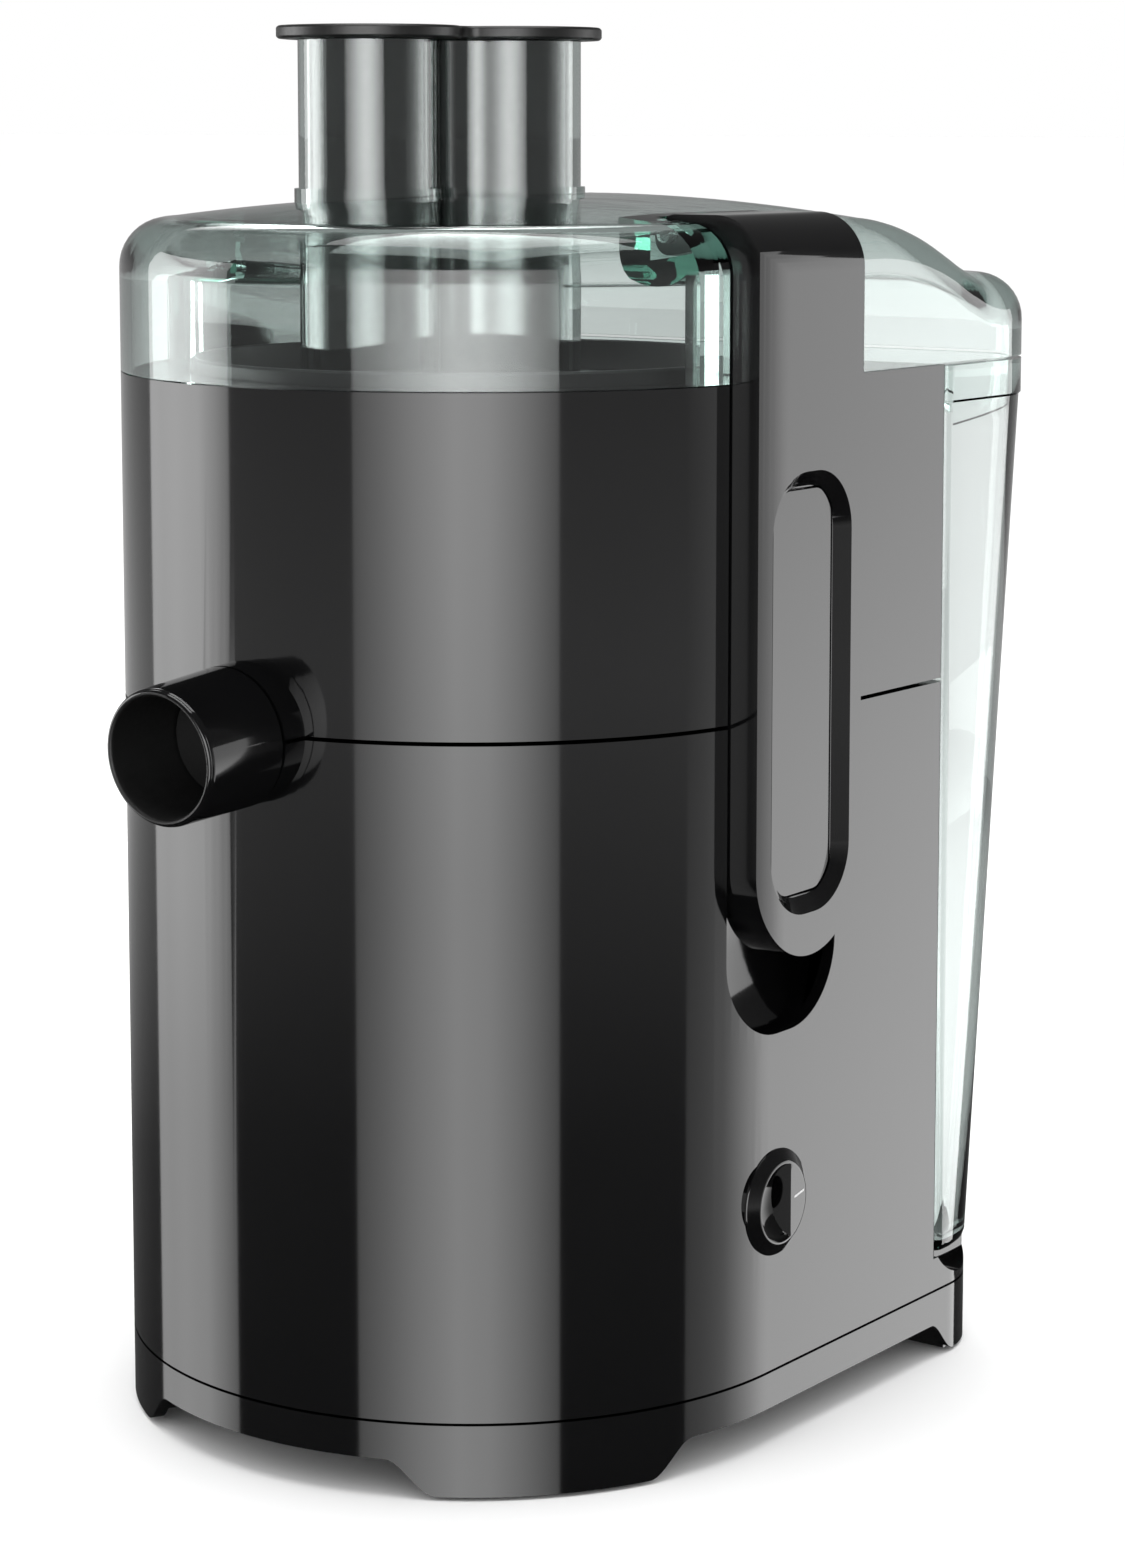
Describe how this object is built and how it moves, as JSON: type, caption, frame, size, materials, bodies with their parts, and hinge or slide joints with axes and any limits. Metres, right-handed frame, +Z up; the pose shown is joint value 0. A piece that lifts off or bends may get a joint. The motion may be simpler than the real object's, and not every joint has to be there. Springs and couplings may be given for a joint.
{
  "type": "centrifugal juicer",
  "caption": "Upright centrifugal juicer with a black motor base, front nozzle, clear lid and feed chute, side locking arms and a rear pulp container.",
  "frame": {"origin": "centre of the footprint on the surface it stands on", "axes": "+Z up, nozzle towards -Y, pulp container towards +Y, speed knob on the +X side"},
  "size_m": [0.1732, 0.233, 0.315],
  "materials": {
    "gloss_black": "high gloss moulded black plastic",
    "satin_black": "satin moulded black plastic",
    "clear_lid": "clear moulded plastic, green where thick",
    "smoke_grey": "glossy dark grey plastic",
    "steel": "brushed stainless steel",
    "rubber": "matt moulded rubber",
    "copper": "enamelled copper",
    "lamination": "stacked steel laminations",
    "carbon": "pressed carbon",
    "nylon": "moulded nylon"
  },
  "bodies": {
    "base": {"base_housing": "gloss_black", "bottom_cover": "gloss_black", "foot_pad_1": "rubber", "foot_pad_2": "rubber", "foot_pad_3": "rubber", "foot_pad_4": "rubber", "base_screw_1": "steel", "base_screw_2": "steel", "base_screw_3": "steel", "base_screw_4": "steel", "stator_core": "lamination", "field_coil_front": "copper", "field_coil_rear": "copper", "upper_motor_bracket": "lamination", "lower_motor_bracket": "lamination", "upper_bearing": "steel", "lower_bearing": "steel", "motor_damper_1": "rubber", "motor_damper_2": "rubber", "motor_damper_3": "rubber", "motor_damper_4": "rubber", "brush_holder_left": "nylon", "brush_holder_right": "nylon", "carbon_brush_left": "carbon", "carbon_brush_right": "carbon", "shaft_seal": "rubber", "speed_switch": "nylon", "interlock_switch": "nylon", "cord_gland": "rubber"},
    "rotor": {"motor_shaft": "steel", "armature_core": "lamination", "commutator": "copper", "cooling_fan": "nylon", "drive_coupling": "nylon"},
    "bowl": {"juice_bowl": "gloss_black", "juice_nozzle": "gloss_black"},
    "basket": {"strainer_mesh": "steel", "strainer_rim": "satin_black", "grater_disc": "steel", "basket_hub": "nylon"},
    "lid": {"feed_lid": "clear_lid", "latch_pin_right": "steel", "latch_pin_left": "steel"},
    "pusher": {"food_pusher": "smoke_grey"},
    "arm_right": {"locking_arm_right": "gloss_black", "arm_inlay_right": "gloss_black"},
    "arm_left": {"locking_arm_left": "gloss_black", "arm_inlay_left": "gloss_black"},
    "container": {"pulp_container": "clear_lid"},
    "knob": {"speed_knob": "gloss_black"}
  },
  "joints": [
    {"name": "rotor_spin", "type": "hinge", "parent": "base", "child": "rotor", "pos_m": [0, -0.0081, 0.1], "axis": [0, 0, 1], "continuous": true},
    {"name": "bowl_lift", "type": "slide", "parent": "base", "child": "bowl", "axis": [0, 0, 1], "range_m": [0, 0.06]},
    {"name": "basket_spin", "type": "hinge", "parent": "bowl", "child": "basket", "pos_m": [0, -0.0081, 0.2], "axis": [0, 0, 1], "continuous": true},
    {"name": "lid_lift", "type": "slide", "parent": "bowl", "child": "lid", "axis": [0, 0, 1], "range_m": [0, 0.09]},
    {"name": "pusher_lift", "type": "slide", "parent": "lid", "child": "pusher", "axis": [0, 0, 1], "range_m": [0, 0.11]},
    {"name": "arm_right_swing", "type": "hinge", "parent": "lid", "child": "arm_right", "pos_m": [0.0641, -0.0021, 0.26775], "axis": [0, -1, 0], "range_deg": [0, 95]},
    {"name": "arm_left_swing", "type": "hinge", "parent": "lid", "child": "arm_left", "pos_m": [-0.0641, -0.0021, 0.26775], "axis": [0, 1, 0], "range_deg": [0, 95]},
    {"name": "container_slide", "type": "slide", "parent": "base", "child": "container", "axis": [0, 1, 0], "range_m": [0, 0.08]},
    {"name": "knob_turn", "type": "hinge", "parent": "base", "child": "knob", "pos_m": [0.08, -0.0111, 0.0574], "axis": [1, 0, 0], "range_deg": [0, 90]}
  ],
  "couplings": [
    {"joint": "basket_spin", "follows": "rotor_spin", "ratio": 1}
  ]
}
